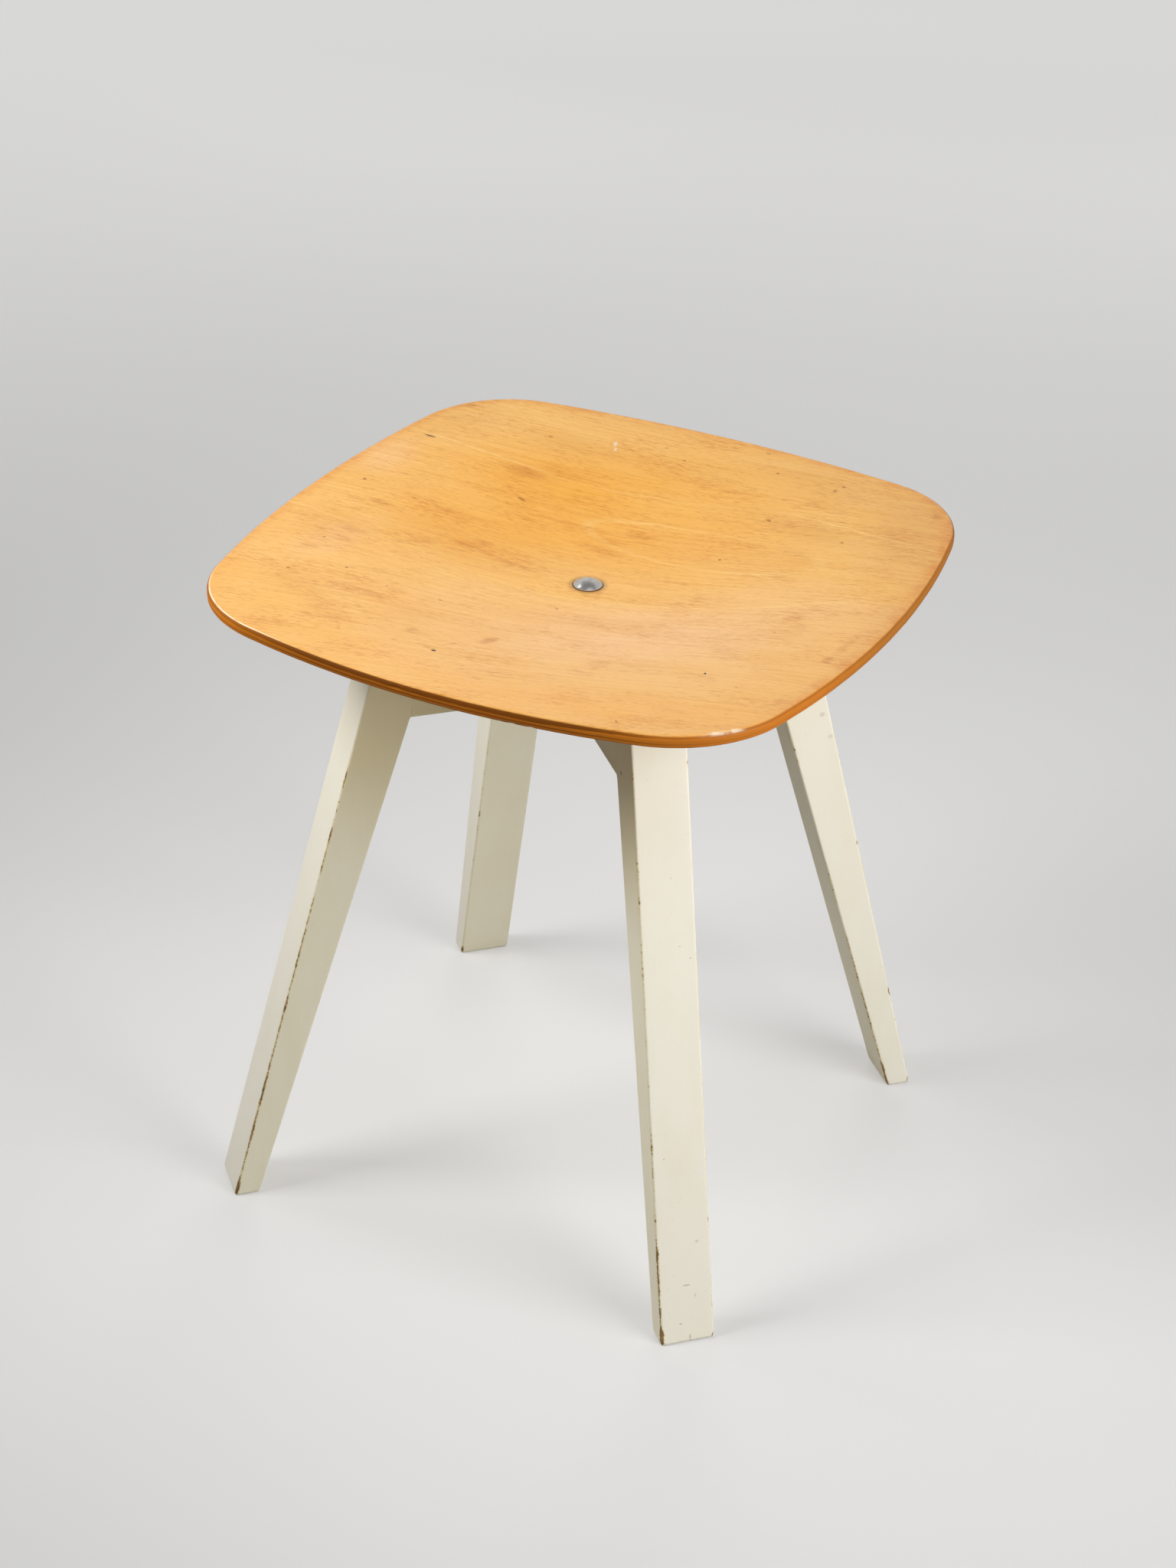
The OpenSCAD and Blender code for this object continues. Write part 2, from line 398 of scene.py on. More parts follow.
def rim_wear(edge, drop):
    """How far the rim stands back at a place: its cross plies, its dents and its chips."""
    along = np.cumsum(np.linalg.norm(edge - np.roll(edge, 1, 0), axis=1))
    bearing = np.arctan2(edge[:, 1], edge[:, 0])
    depth = 0.1 * band(drop, 1.6, 2.9, 0.15) + 0.1 * band(drop, 5.1, 6.5, 0.15)
    depth = depth + 0.07 * (1 + ripple(along, 61, 1.0)) + 0.04 * (1 + ripple(along, 13, 4.0))
    for direction, height, half_long, half_high, deep in CHIPS:
        off = np.angle(np.exp(1j * (bearing - math.radians(direction))))
        middle = along[np.argmin(np.abs(off))]
        reach = ((along - middle) / half_long) ** 2 + ((drop - height) / half_high) ** 2
        depth = depth + deep * np.exp(-reach ** 2)
    return depth


def seat_rings():
    """Rings of the seat, and for each point its drop below the top and distance from the rim."""
    edge, out = seat_outline(RIM_STEP)
    facing = edge / np.linalg.norm(edge, axis=1)[:, None]
    hole = facing * HOLE_W / 2 / np.abs(facing).max(1)[:, None]
    rows = [(share, RIM_TOP_R, 0) for share in np.linspace(0, 1, TOP_ROWS)[:-1]]
    rows += [(1, inset, drop) for inset, drop in rim_profile()]
    rows += [(share, RIM_LOW_R, PLY_T) for share in np.linspace(1, 0, 32)[1:]]
    rows += [(0, RIM_LOW_R, drop) for drop in (6, 4, 2)]
    rings, drops, insides = [], [], []
    for share, inset, drop in rows:
        rim = edge - (inset + rim_wear(edge, drop))[:, None] * out
        plan = hole + share * (rim - hole)
        rings.append(np.column_stack([plan, top_z(np.linalg.norm(plan, axis=1)) - drop]))
        drops.append(np.full(len(edge), drop))
        insides.append(inset + (1 - share) * np.linalg.norm(edge - hole, axis=1))
    return np.array(rings), np.concatenate(drops), np.concatenate(insides)


def grain_field(x, y):
    """Place along and across the grain, which turns and bends over the seat."""
    across = y - GRAIN_TURN * x - GRAIN_BEND_Y * x * y - GRAIN_BEND_X * x * x / 2
    along = x + GRAIN_TURN * y + GRAIN_BEND_Y * y * y / 2 + GRAIN_BEND_X * x * y
    return along, across


def line_distance(line, x, y):
    """Distance from a growth line, positive behind it."""
    at, height = np.array(line).T
    fine = np.linspace(at[0], at[-1], 421)
    smooth = np.interp(fine, at, height)
    for _ in range(3):
        smooth = np.convolve(np.pad(smooth, 12, "edge"), np.ones(25) / 25, "valid")
    slope = np.gradient(smooth, fine)
    return (y - np.interp(x, fine, smooth)) / np.hypot(1, np.interp(x, fine, slope))


def eye_distance(x, y):
    """Distance from the closed growth line, positive outside it."""
    a = (x - EYE_MIDDLE[0]) / EYE_HALF[0]
    b = (y - EYE_MIDDLE[1]) / EYE_HALF[1]
    return (np.hypot(a, b) - 1) * EYE_HALF[1]


def seat():
    rings, drop, inside = seat_rings()
    mesh = grid_mesh("seat_veneered", rings, "joined")
    x, y = points_of(mesh)[:, 0], points_of(mesh)[:, 1]
    along, across = grain_field(x, y)
    lines = [line_distance(LINE_BACK, x, y), line_distance(LINE_FRONT, x, y), eye_distance(x, y)]
    store(mesh, "grain", np.stack([along, across, drop], 1))
    store(mesh, "lines", np.stack(lines, 1))
    store(mesh, "inside", inside)
    store(mesh, "smudge", patches(SMUDGES, x, y))
    # Broad tones of the top, partly painted shade and painted sheen
    store(mesh, "tone_and_light", np.stack([patches(table, x, y) for table in (AMBER_AND_SHADE, PALE_WEAR_AND_SHEEN, DULL_AND_SHADE)], 1))
    mesh.materials.append(seat_material())
    dress(link("seat_veneered", mesh), "seat")


# Marks on the seat: x, y, half length, half width, turn in degrees, strength
SMUDGES = [
    (-97, 98, 11, 5, 5, 0.75), (-75, 110, 14, 5, 0, 0.3), (-1, 70, 7, 4, 0, 0.45),
    (-14, 55, 9, 3, 0, 0.4), (-17, 44, 14, 4, 0, 0.45), (-169, 154, 4, 2, 30, 0.8),
    (166, 153, 5, 3, -40, 0.7), (139, -3, 6, 4, 0, 0.5), (147, -12, 5, 4, 0, 0.4),
    (185, -20, 3, 7, 0, 0.4), (184, -34, 3, 6, 0, 0.5), (182, -50, 3, 5, 0, 0.5),
    (121, -58, 8, 5, 0, 0.3), (-152, 8, 6, 3, 0, 0.5), (-88, 0, 5, 2, 0, 0.4),
    (-78, 10, 5, 3, 0, 0.4), (-148, -35, 10, 4, 0, 0.4), (-145, -48, 6, 4, 0, 0.35),
    (-155, -70, 5, 4, 0, 0.35), (-50, -129, 4, 4, 0, 0.7), (-8, -110, 3, 6, -20, 0.7),
    (-22, -130, 1.2, 7, -25, 0.35), (62, -108, 6, 7, -20, 0.5), (-51, -148, 2, 1.5, 0, 0.6),
    (-109, -151, 4, 2, 0, 0.5), (-95, -162, 2, 3, 0, 0.4), (-85, -154, 4, 1, -60, 0.5),
    (-105, -102, 22, 5, 10, 0.3), (-140, -115, 22, 14, -20, 0.35),
    (-105, -138, 16, 10, -30, 0.35), (-87, -85, 6, 5, -40, 0.35), (-31, -144, 6, 1.2, -15, 0.6),
    (-120, 30, 30, 4, 2, 0.22), (-60, -1, 26, 2.5, -3, 0.4), (-5, -39, 3, 2, 0, 0.4),
    (5, -52, 38, 9, 18, 0.24), (55, -38, 30, 8, 30, 0.22), (90, 140, 8, 4, 0, 0.35),
    (-20, 145, 40, 9, 0, 0.2), (75, 115, 22, 6, -5, 0.25), (105, 78, 14, 6, -30, 0.3),
    (130, -150, 8, 3, 10, 0.3), (35, 15, 14, 2, 3, 0.35), (-45, 62, 26, 3, 3, 0.2),
]
DOTS = [
    (-84, 69, 3, 1.2, -20, 0.8), (96, 168, 1.3, 1, 0, 0.9), (93, 161, 1, 2, 0, 0.6),
    (69, 113, 2, 1, -30, 0.8), (50, 168, 1, 1, 0, 0.7), (-30, 168, 1, 1, 0, 0.6),
    (125, 100, 1, 1, 0, 0.7), (60, 61, 1, 1, 0, 0.8), (-175, 27, 1.2, 1, 0, 0.8),
    (-150, -105, 1, 1, 0, 0.9), (-124, -80, 1, 1, 0, 0.8), (-155, -55, 1, 1, 0, 0.7),
    (-61, -76, 1.2, 0.8, 0, 0.6), (-94, -83, 0.8, 0.8, 0, 0.6), (-1, -39, 1.2, 0.9, 0, 0.6),
    (150, -106, 1, 0.8, 0, 0.5), (137, -25, 1, 1, 0, 0.5), (-13, 159, 1.2, 1, 0, 0.6),
    (-103, 144, 1.4, 1, 0, 0.5), (110, -178, 2, 0.7, -50, 0.6), (33, 190, 1.5, 1, 0, 0.5),
]
HOLES = [(-170, 102, 4, 0.7, 0, 1), (-25, -146.5, 1.5, 1.3, 0, 1), (125, -95, 0.7, 1.4, 20, 1)]
SCUFFS = [(-62, 157, 1.2, 3, 15, 0.6), (-59, 151, 1, 2.5, 15, 0.5)]
# A painted highlight at the front corner's arris, in the same terms
CORNER_HIGHLIGHT = [(168.2, -161.2, 11, 1.5, 47, 0.75)]

# Broad tones of the seat in the same terms: deeper amber, paler patches and duller edges. They are
# partly the varnish's tone and wear and partly painted light: painted shade where the amber deepens
# on the dish's far slope and where the seat is duller, painted sheen where it is paler on the near
# slope
AMBER_AND_SHADE = [
    (-72, 95, 62, 30, 5, 0.85), (-88, 20, 50, 34, 10, 0.65), (-20, 55, 60, 24, 0, 0.6),
    (5, 128, 60, 18, -8, 0.4), (110, -160, 85, 22, 12, 0.65), (-20, -172, 100, 14, 0, 0.45),
    (168, -95, 18, 60, 0, 0.35), (-68, -101, 23, 15, 0, 0.5), (30, 90, 46, 20, 0, 0.3),
    (-178, -132, 14, 22, -30, 0.3),
]
PALE_WEAR_AND_SHEEN = [
    (70, -45, 68, 34, 20, 0.7), (60, -80, 60, 26, 25, 0.5), (-20, -82, 60, 30, 5, 0.12),
    (-150, -55, 14, 40, -10, 0.3), (-180, 65, 14, 24, 0, 0.5), (120, 20, 50, 24, 10, 0.25),
]
DULL_AND_SHADE = [
    (172, 130, 34, 60, 10, 0.75), (196, 30, 14, 80, 0, 0.5), (120, 165, 70, 24, -8, 0.35),
    (-175, 145, 30, 30, 0, 0.4), (-95, 98, 20, 7, 5, 0.4), (-80, 0, 60, 22, 10, 0.3),
    (196, -130, 16, 50, 0, 0.3), (106, 106, 26, 12, -10, 0.55), (-88, 142, 32, 12, 5, 0.35),
    (-160, -37, 22, 17, 0, 0.4), (-66, -104, 18, 10, 0, 0.25),
]


# Colours of the seat: varnish, veneer, marks and cut plies
HONEY = (0.87, 0.485, 0.125)
HONEY_DEEP = (0.84, 0.44, 0.095)
HONEY_CLOUD = (0.88, 0.51, 0.145)
# The next two colour the deeper amber and the paler patches, which are partly painted shade and
# painted sheen
HONEY_AMBER_AND_SHADE = (0.83, 0.385, 0.045)
HONEY_PALE_AND_SHEEN = (0.885, 0.515, 0.23)
# Paler honey in front of the front growth line, partly painted sheen
HONEY_FRONT_AND_SHEEN = (0.86, 0.50, 0.20)
HONEY_EYE = (0.81, 0.39, 0.075)
GROWTH_LINE = (0.92, 0.60, 0.21)
DOT = (0.36, 0.11, 0.008)
SCUFF = (0.86, 0.74, 0.62)
HOLE = (0.06, 0.012, 0.0)
PLY_DARK = (0.22, 0.06, 0.001)
PLY_DARKEST = (0.11, 0.03, 0.0)
PLY_LIGHT = (0.70, 0.235, 0.016)
PLY_LIGHT_DEEP = (0.50, 0.15, 0.009)
# Pale cream of the painted highlight on the upper arris
HIGHLIGHT_CREAM = (0.96, 0.83, 0.64)

# Tints that multiply them
# The first tint darkens the duller patches, which are partly painted shade
DULL_AND_SHADE_TINT = (0.86, 0.79, 0.72)
FIBRE_TINT = (0.92, 0.83, 0.66)
PALE_FIBRE_TINT = (1.03, 1.06, 1.12)
PALE_RAY_TINT = (1.04, 1.08, 1.15)
LONG_RAY_TINT = (0.76, 0.56, 0.30)
SHORT_RAY_TINT = (0.82, 0.65, 0.42)
SMUDGE_TINT = (0.76, 0.60, 0.40)
WORN_TINT = (0.90, 0.70, 0.46)
UNDERSIDE_TINT = (0.86, 0.76, 0.62)
# Grime and painted contact shadow round the bolt's head
BOLT_GRIME_AND_SHADOW_TINT = (0.20, 0.12, 0.07)
FRONT_PLY_TINT = (0.68, 0.62, 0.5)
RIGHT_PLY_TINT = (0.86, 0.84, 1.1)
BACK_PLY_TINT = (0.78, 0.88, 1.05)


def patches(table, x, y):
    """Strength of a table of soft patches at a place on the seat."""
    clear = 1 + 0 * x
    for middle_x, middle_y, half_long, half_wide, turn, most in table:
        c, s = math.cos(math.radians(turn)), math.sin(math.radians(turn))
        a = (c * (x - middle_x) + s * (y - middle_y)) / half_long
        b = (c * (y - middle_y) - s * (x - middle_x)) / half_wide
        clear = clear * (1 - most * (1 - step(np.hypot(a, b), 0.3, 1.7)))
    return 1 - clear


def marks(g, here, table, soft):
    """Mask of a table of marks, each a rounded patch that fades over its outer part."""
    mask = 0.0
    for x, y, half_long, half_wide, turn, strength in table:
        inputs = {"Vector": here, "Location": (x, y, 0), "Rotation": (0, 0, math.radians(turn)),
                  "Scale": (half_long, half_wide, 10000)}
        near = g.vector("LENGTH", g.node("Mapping", inputs, vector_type="TEXTURE").outputs[0])
        mask = g.most(mask, g.reach(near, 1 + soft, 1 - soft, 0, strength))
    return mask


def veneer_colour(g, grain, here):
    """Colour of the face veneer, with its tones, its figure, its growth lines and its fibres."""
    back, front, eye = g.split(g.attribute("lines", "Vector"))
    amber_and_shade, pale, dull_and_shade = g.split(g.attribute("tone_and_light", "Vector"))
    figure = g.noise(grain, (260, 20, 3), detail=4, roughness=0.6, distortion=0.5)
    clouds = g.noise(grain, (95, 50, 3), detail=3)
    colour = g.mix(g.reach(figure, 0.32, 0.68), HONEY, HONEY_DEEP)
    colour = g.mix(g.reach(clouds, 0.42, 0.7, 0, 0.4), colour, HONEY_CLOUD)
    # Deeper amber and paler patches: partly the varnish's tone and wear, partly painted shade on
    # the dish's far slope and painted sheen on its near slope
    colour = g.mix(amber_and_shade, colour, HONEY_AMBER_AND_SHADE)
    colour = g.mix(pale, colour, HONEY_PALE_AND_SHEEN)
    side = g.split(here)[0]
    # Paler in front of the front growth line, most in the middle and right: partly the veneer's
    # tone, partly painted sheen on the dish's near slope
    paler = g.times(g.reach(front, 1, -5, 0, 0.3), g.reach(side, -120, -20, 0.3, 1))
    colour = g.mix(paler, colour, HONEY_FRONT_AND_SHEEN)
    colour = g.mix(g.reach(eye, 3, -8, 0, 0.35), colour, HONEY_EYE)
    # Duller patches: partly the varnish's tone, partly painted shade
    colour = g.stained(dull_and_shade, colour, DULL_AND_SHADE_TINT)
    for distance in (back, front, eye):
        waver = g.math("MULTIPLY_ADD", g.noise(grain, (22, 22, 3), detail=2), 3.0, -1.5)
        near = g.reach(g.math("ABSOLUTE", g.add(distance, waver)), 2.0, 0.2)
        shown = g.times(near, g.reach(clouds, 0.35, 0.65, 0.1, 0.55))
        colour = g.mix(shown, colour, GROWTH_LINE)
    return colour


def veneer_flecks(g, colour, grain, smudge):
    """Adds the wood's fibres and its short dark rays, which are closer and darker in a smudge."""
    fibre = g.noise(g.vector("ADD", grain, (7, 53, 2)), (60, 1.6, 3), detail=3, roughness=0.6)
    colour = g.stained(g.reach(fibre, 0.45, 0.7, 0, 0.75), colour, FIBRE_TINT)
    colour = g.stained(g.reach(fibre, 0.45, 0.3, 0, 0.6), colour, PALE_FIBRE_TINT)
    long_ray = g.noise(grain, (13, 1.1, 3), detail=3, roughness=0.65)
    short_ray = g.noise(g.vector("ADD", grain, (31, 17, 5)), (5, 0.8, 3), detail=2, roughness=0.6)
    crowd = g.noise(grain, (50, 24, 9), detail=4)
    crowded = g.add(g.reach(crowd, 0.35, 0.75, -0.05, 0.07), g.times(smudge, 0.12))
    shown = g.reach(g.add(long_ray, crowded), 0.52, 0.76, 0, 0.75)
    colour = g.stained(shown, colour, LONG_RAY_TINT)
    fine = g.reach(g.add(short_ray, crowded), 0.50, 0.74, 0, 0.8)
    colour = g.stained(fine, colour, SHORT_RAY_TINT)
    pale = g.reach(short_ray, 0.46, 0.26, 0, 0.6)
    colour = g.stained(pale, colour, PALE_RAY_TINT)
    dashes = g.reach(g.noise(grain, (9, 1.5, 6), detail=4, roughness=0.7), 0.34, 0.66, 0.2, 1)
    return g.stained(g.times(smudge, dashes), colour, SMUDGE_TINT)


def veneer_stains(g, colour, here):
    """Adds the dots, the holes and the scuffs of the photographed seat."""
    loose = g.noise(here, (2.5, 2.5, 2.5), detail=3)
    shift_x = g.math("MULTIPLY_ADD", loose, 2.4, -1.2)
    shift_y = g.math("MULTIPLY_ADD", loose, -2.0, 1.0)
    shift = g.node("CombineXYZ", {0: shift_x, 1: shift_y}).outputs[0]
    shifted = g.vector("ADD", here, shift)
    colour = g.mix(marks(g, shifted, DOTS, 0.5), colour, DOT)
    colour = g.mix(marks(g, shifted, SCUFFS, 0.5), colour, SCUFF)
    return g.mix(marks(g, here, HOLES, 0.3), colour, HOLE)


def rim_colour(g, colour, grain, here, drop):
    """Adds the cut plies that show on the rim, the upper one wider and the rest darker in front,
    and a dark lower arris that is partly painted shade.
    """
    x, y, _ = g.split(here)
    cut_grain = g.noise(grain, (1.2, 1.2, 0.25), detail=3)
    long_grain = g.noise(grain, (14, 14, 0.3), detail=3)
    front = g.times(g.times(g.reach(x, -170, -60), g.reach(x, 150, 60)), g.reach(y, -100, -190))
    dark = g.mix(cut_grain, PLY_DARK, PLY_DARKEST)
    light = g.mix(long_grain, PLY_LIGHT, PLY_LIGHT_DEEP)
    light = g.stained(front, light, FRONT_PLY_TINT)
    right = g.reach(x, 90, 165)
    light = g.stained(right, light, RIGHT_PLY_TINT)
    light = g.stained(g.times(right, g.reach(y, -110, 0)), light, BACK_PLY_TINT)
    paler = g.most(g.times(right, 0.7), g.reach(x, -70, -150, 0, 0.45))
    dark = g.mix(paler, dark, light)
    low = g.add(g.times(front, 0.9), g.reach(x, 60, 160, 2.4, 1.7))
    below = g.math("SUBTRACT", drop, g.add(low, g.reach(long_grain, 0.3, 0.7, -0.2, 0.2)))
    colour = g.mix(g.reach(drop, 0.35, 0.85), colour, dark)
    edge = g.times(g.reach(x, -60, 120), g.reach(drop, 0.2, 0.5))
    colour = g.mix(g.times(edge, 0.3), colour, dark)
    colour = g.mix(g.reach(below, -0.25, 0.25), colour, light)
    middle = g.times(g.reach(drop, 4.6, 4.9), g.reach(drop, 5.8, 5.4))
    colour = g.mix(g.times(middle, 0.8), colour, dark)
    # The lowest part of the lower arris, which faces down, is dark: partly a cut ply, partly
    # painted shade
    return g.mix(g.reach(drop, 7.2, 7.5), colour, dark)


def arris_highlight(g, here, drop):
    """Painted highlight on the upper arris: a pale line on the left, and a spot at the front
    corner.
    """
    x, y, _ = g.split(here)
    line = g.times(g.reach(x, -80, -140), g.reach(y, -120, -160))
    ends = g.noise(here, (9, 9, 9), detail=3)
    line = g.times(line, g.reach(ends, 0.3, 0.5, 0.3, 0.75))
    line = g.times(line, g.times(g.reach(drop, 0.15, 0.3), g.reach(drop, 0.75, 0.6)))
    corner = marks(g, here, CORNER_HIGHLIGHT, 0.5)
    corner = g.times(corner, g.reach(ends, 0.38, 0.52, 0.25, 1))
    return g.most(line, g.times(corner, g.reach(drop, 1.7, 1.2)))


def seat_material():
    g = new_graph("seat_plywood")
    grain = g.attribute("grain", "Vector")
    here = g.place()
    drop = g.split(grain)[2]
    inside = g.attribute("inside", "Fac")
    top = g.reach(drop, 1.2, 0.8)
    colour = veneer_colour(g, grain, here)
    colour = veneer_flecks(g, colour, grain, g.times(g.attribute("smudge", "Fac"), top))
    colour = g.mix(top, colour, veneer_stains(g, colour, here))
    reached = g.reach(g.noise(here, (12, 12, 5), detail=4), 0.35, 0.65, 0.4, 1)
    behind = g.reach(g.split(here)[1], -150, -60, 0.25, 1)
    worn = g.times(g.times(g.reach(inside, 12, 0.5), reached), behind)
    colour = g.stained(worn, colour, WORN_TINT)
    underside = g.reach(drop, 7.8, 7.95)
    rim = rim_colour(g, colour, grain, here, drop)
    # Painted highlight: pale cream on the upper arris, along the left and at the front corner
    rim = g.mix(arris_highlight(g, here, drop), rim, HIGHLIGHT_CREAM)
    colour = g.mix(underside, rim, g.stained(0.6, colour, UNDERSIDE_TINT))
    # A dark ring round the bolt's head: partly grime, partly painted contact shadow
    from_bolt = g.vector("LENGTH", g.vector("MULTIPLY", here, (1, 1, 0)))
    ring = g.most(g.reach(from_bolt, 10.4, 9.4, 0, 0.95), g.reach(from_bolt, 14, 9, 0, 0.45))
    colour = g.stained(g.times(ring, top), colour, BOLT_GRIME_AND_SHADOW_TINT)
    gloss = g.noise(here, (26, 26, 26), detail=4)
    pore = g.noise(grain, (7, 0.9, 2), detail=2)
    return g.finish({
        "Base Color": colour,
        "Roughness": g.reach(gloss, 0.3, 0.7, 0.4, 0.52),
        "Specular IOR Level": 0.2,
        "Coat Weight": g.reach(drop, 0.4, 0.9, 0.5, 0.06),
        "Coat Roughness": 0.16,
        "Normal": g.bump(g.add(g.times(pore, 0.6), g.times(gloss, 0.4)), 0.04, 0.5),
    })


# Legs

LEG_ROWS = 290
JOINT_H = 58
SEAM_R = 0.35
MOST_ARRIS_R = 2.8
SOLE_ROUND = 2.6
SOLE_ROUND_H = 5
WHOLE_PAINT = -1.15

# Wear of a leg's arrises, numbered counterclockwise from the outer one on the left side as seen
# from outside: arris, lowest and highest place, width of bare wood
WEAR = {
    "leg_front_right": [
        (3, 303, 362, -0.55), (3, 277, 301, 0.1), (3, 256, 266, -0.1), (3, 212, 233, -0.1),
        (3, 160, 205, -0.45), (3, 66, 140, 0.1), (3, 0, 66, 0.45), (3, 0, 12, 1.5),
        (3, 0, 362, -0.25), (0, 74, 81, 0.1), (0, 12, 38, 0.1), (0, 0, 4, 1.2),
        (0, 357, 361, 0.3), (0, 0, 300, -0.45),
    ],
    "leg_front_left": [
        (0, 294, 309, 0.2), (0, 200, 272, 0.15), (0, 94, 200, 0.35), (0, 36, 95, 0.6),
        (0, 0, 37, 0.4), (0, 0, 310, 0.0), (0, 0, 12, 1.3), (3, 0, 330, -0.7), (1, 0, 330, -0.6),
        (0, 310, 350, -0.6),
    ],
    "leg_back_right": [
        (2, 277, 282, 0.4), (2, 269, 273, 0.3), (2, 156, 192, -0.1), (2, 4, 133, 0.1),
        (2, 0, 22, 0.8), (3, 200, 205, 0.4), (3, 75, 83, 0.7), (3, 53, 57, 0.3), (3, 0, 6, 0.9),
        (3, 90, 300, -0.6),
    ],
    "leg_back_left": [
        (1, 0, 320, -0.35), (1, 140, 147, 0.4), (2, 159, 163, 0.4), (2, 136, 143, 0.2),
        (2, 0, 60, -0.3), (1, 0, 8, 0.9),
    ],
}

# The side of a leg that takes painted shade, a darker, yellower tint for the shade under the seat:
# 1 where it lies counterclockwise, -1 clockwise
PAINTED_SHADE_SIDE = {"leg_front_right": -1, "leg_front_left": 1}


def leg_faces(z):
    """Distance of a leg's outer and inner faces from the middle, at a height."""
    outer = FOOT_R - math.tan(OUTER_LEAN) * z
    plain = FOOT_R - FOOT_W - math.tan(INNER_LEAN) * z
    joint = JOINT_R - math.tan(JOINT_LEAN) * (z - RAIL_Z)
    return outer, np.where(z < RAIL_Z, plain, joint)


def wear_width(spans, arris, z):
    """Half width of the bare wood along an arris. It is below 0 where the paint is whole."""
    width = WHOLE_PAINT + 0.2 * ripple(z, 47, arris + 1.0)
    for which, low, high, bare in spans:
        if which == arris:
            worn = WHOLE_PAINT + (bare - WHOLE_PAINT) * band(z, low, high, 2.5)
            width = np.maximum(width, worn)
    return width


def section(low, high, half, radii):
    """Points counterclockwise round a rectangle with its own radius at each corner."""
    ring = []
    for k, (x, y) in enumerate([(high, half), (low, half), (low, -half), (high, -half)]):
        t = math.pi / 2 * (k + np.linspace(0, 1, 7))
        centre = (x - math.copysign(radii[k], x - (low + high) / 2), y - math.copysign(radii[k], y))
        ring.append(np.array(centre) + radii[k] * np.stack([np.cos(t), np.sin(t)], 1))
    flats = np.array([0.04, 0.1, 0.2, 0.35, 0.5, 0.65, 0.8, 0.9, 0.96])[:, None]
    whole = []
    for k in range(4):
        start, end = ring[k][-1], ring[(k + 1) % 4][0]
        whole += [ring[k], start + flats * (end - start)]
    return np.concatenate(whole)


def arris_radii(spans, height):
    """Radii of a leg's arrises: larger where they are worn, small where they meet a rail."""
    seam = float(step(height, RAIL_Z - 1, RAIL_Z + 1))
    rounded = SOLE_ROUND * max(1 - float(height) / SOLE_ROUND_H, 0) ** 2
    radii = []
    for k in range(4):
        radius = ARRIS_R + 0.5 * max(float(wear_width(spans, k, height)) + 0.4, 0)
        if k in (1, 2):
            radius = radius + (SEAM_R - radius) * seam
        radii.append(min(radius, MOST_ARRIS_R) + rounded)
    return radii


def leg_ring(spans, height, share, inset):
    """One ring of a leg: at a height below the rails, or at a share of the way up to the seat."""
    outer, inner = leg_faces(height)
    ring = section(float(inner), float(outer), WOOD_T / 2, arris_radii(spans, height))
    part = (ring[:, 0] - inner) / (outer - inner)
    r, t = ring[:, 0], np.clip(ring[:, 1], inset - WOOD_T / 2, WOOD_T / 2 - inset)
    z = np.full(len(ring), float(height))
    for _ in range(5):
        if share is not None:
            z = RAIL_Z + share * (bed_z(np.hypot(r, t)) - RAIL_Z)
        outer, inner = leg_faces(np.maximum(z, RAIL_Z) if share is not None else z)
        r = np.clip(inner + part * (outer - inner), inner + inset, outer - inset)
    return np.stack([r, t, z], 1)


def leg_rings(spans):
    sole = [(0, 2.0), (0.25, 1.2), (0.8, 0.5), (1.9, 0)]
    heights = np.linspace(2.5, RAIL_Z - 0.01, LEG_ROWS)
    rings = [leg_ring(spans, z, None, inset) for z, inset in sole]
    rings += [leg_ring(spans, z, None, 0) for z in heights]
    rings += [leg_ring(spans, RAIL_Z + JOINT_H * f, f, 0) for f in np.linspace(0.004, 1, 50)]
    return np.array(rings)


def turned(points, degrees):
    """Points turned about the upright axis."""
    c, s = math.cos(math.radians(degrees)), math.sin(math.radians(degrees))
    return points @ np.array([[c, s, 0], [-s, c, 0], [0, 0, 1]])


def rod(start, end, radius, around=48):
    """Rings of a plain round rod between two points."""
    axis = (end - start) / np.linalg.norm(end - start)
    side = np.cross(axis, (0, 1, 0) if abs(axis[1]) < 0.9 else (1, 0, 0))
    side = side / np.linalg.norm(side)
    t = 2 * np.pi * np.arange(around)[:, None] / around
    circle = radius * (np.cos(t) * side + np.sin(t) * np.cross(axis, side))
    return np.array([start + circle, end + circle])


def dowel_hole(level, first, last):
    """Rings of a dowel's hole between two distances past the joint, on a leg at 0 degrees."""
    h = DOWEL_LOW + level * DOWEL_PITCH
    mouth = np.array([JOINT_R - h * math.tan(JOINT_LEAN), 0, RAIL_Z + h])
    axis = np.array([math.cos(JOINT_LEAN), 0, math.sin(JOINT_LEAN)])
    return rod(mouth + first * axis, mouth + last * axis, DOWEL_HOLE_D / 2)


def worn_paint(local, spans):
    """How far each point lies inside bare wood. It is below 0 under whole paint."""
    r, t, z = local.T
    outer, inner = leg_faces(z)
    bare = 0.9 - 1.6 * z
    for k in range(4):
        from_face = outer - r if k in (0, 3) else r - inner
        from_side = WOOD_T / 2 - t if k in (0, 1) else WOOD_T / 2 + t
        bare = np.maximum(bare, wear_width(spans, k, z) + 0.5 - np.maximum(from_face, from_side))
    return bare


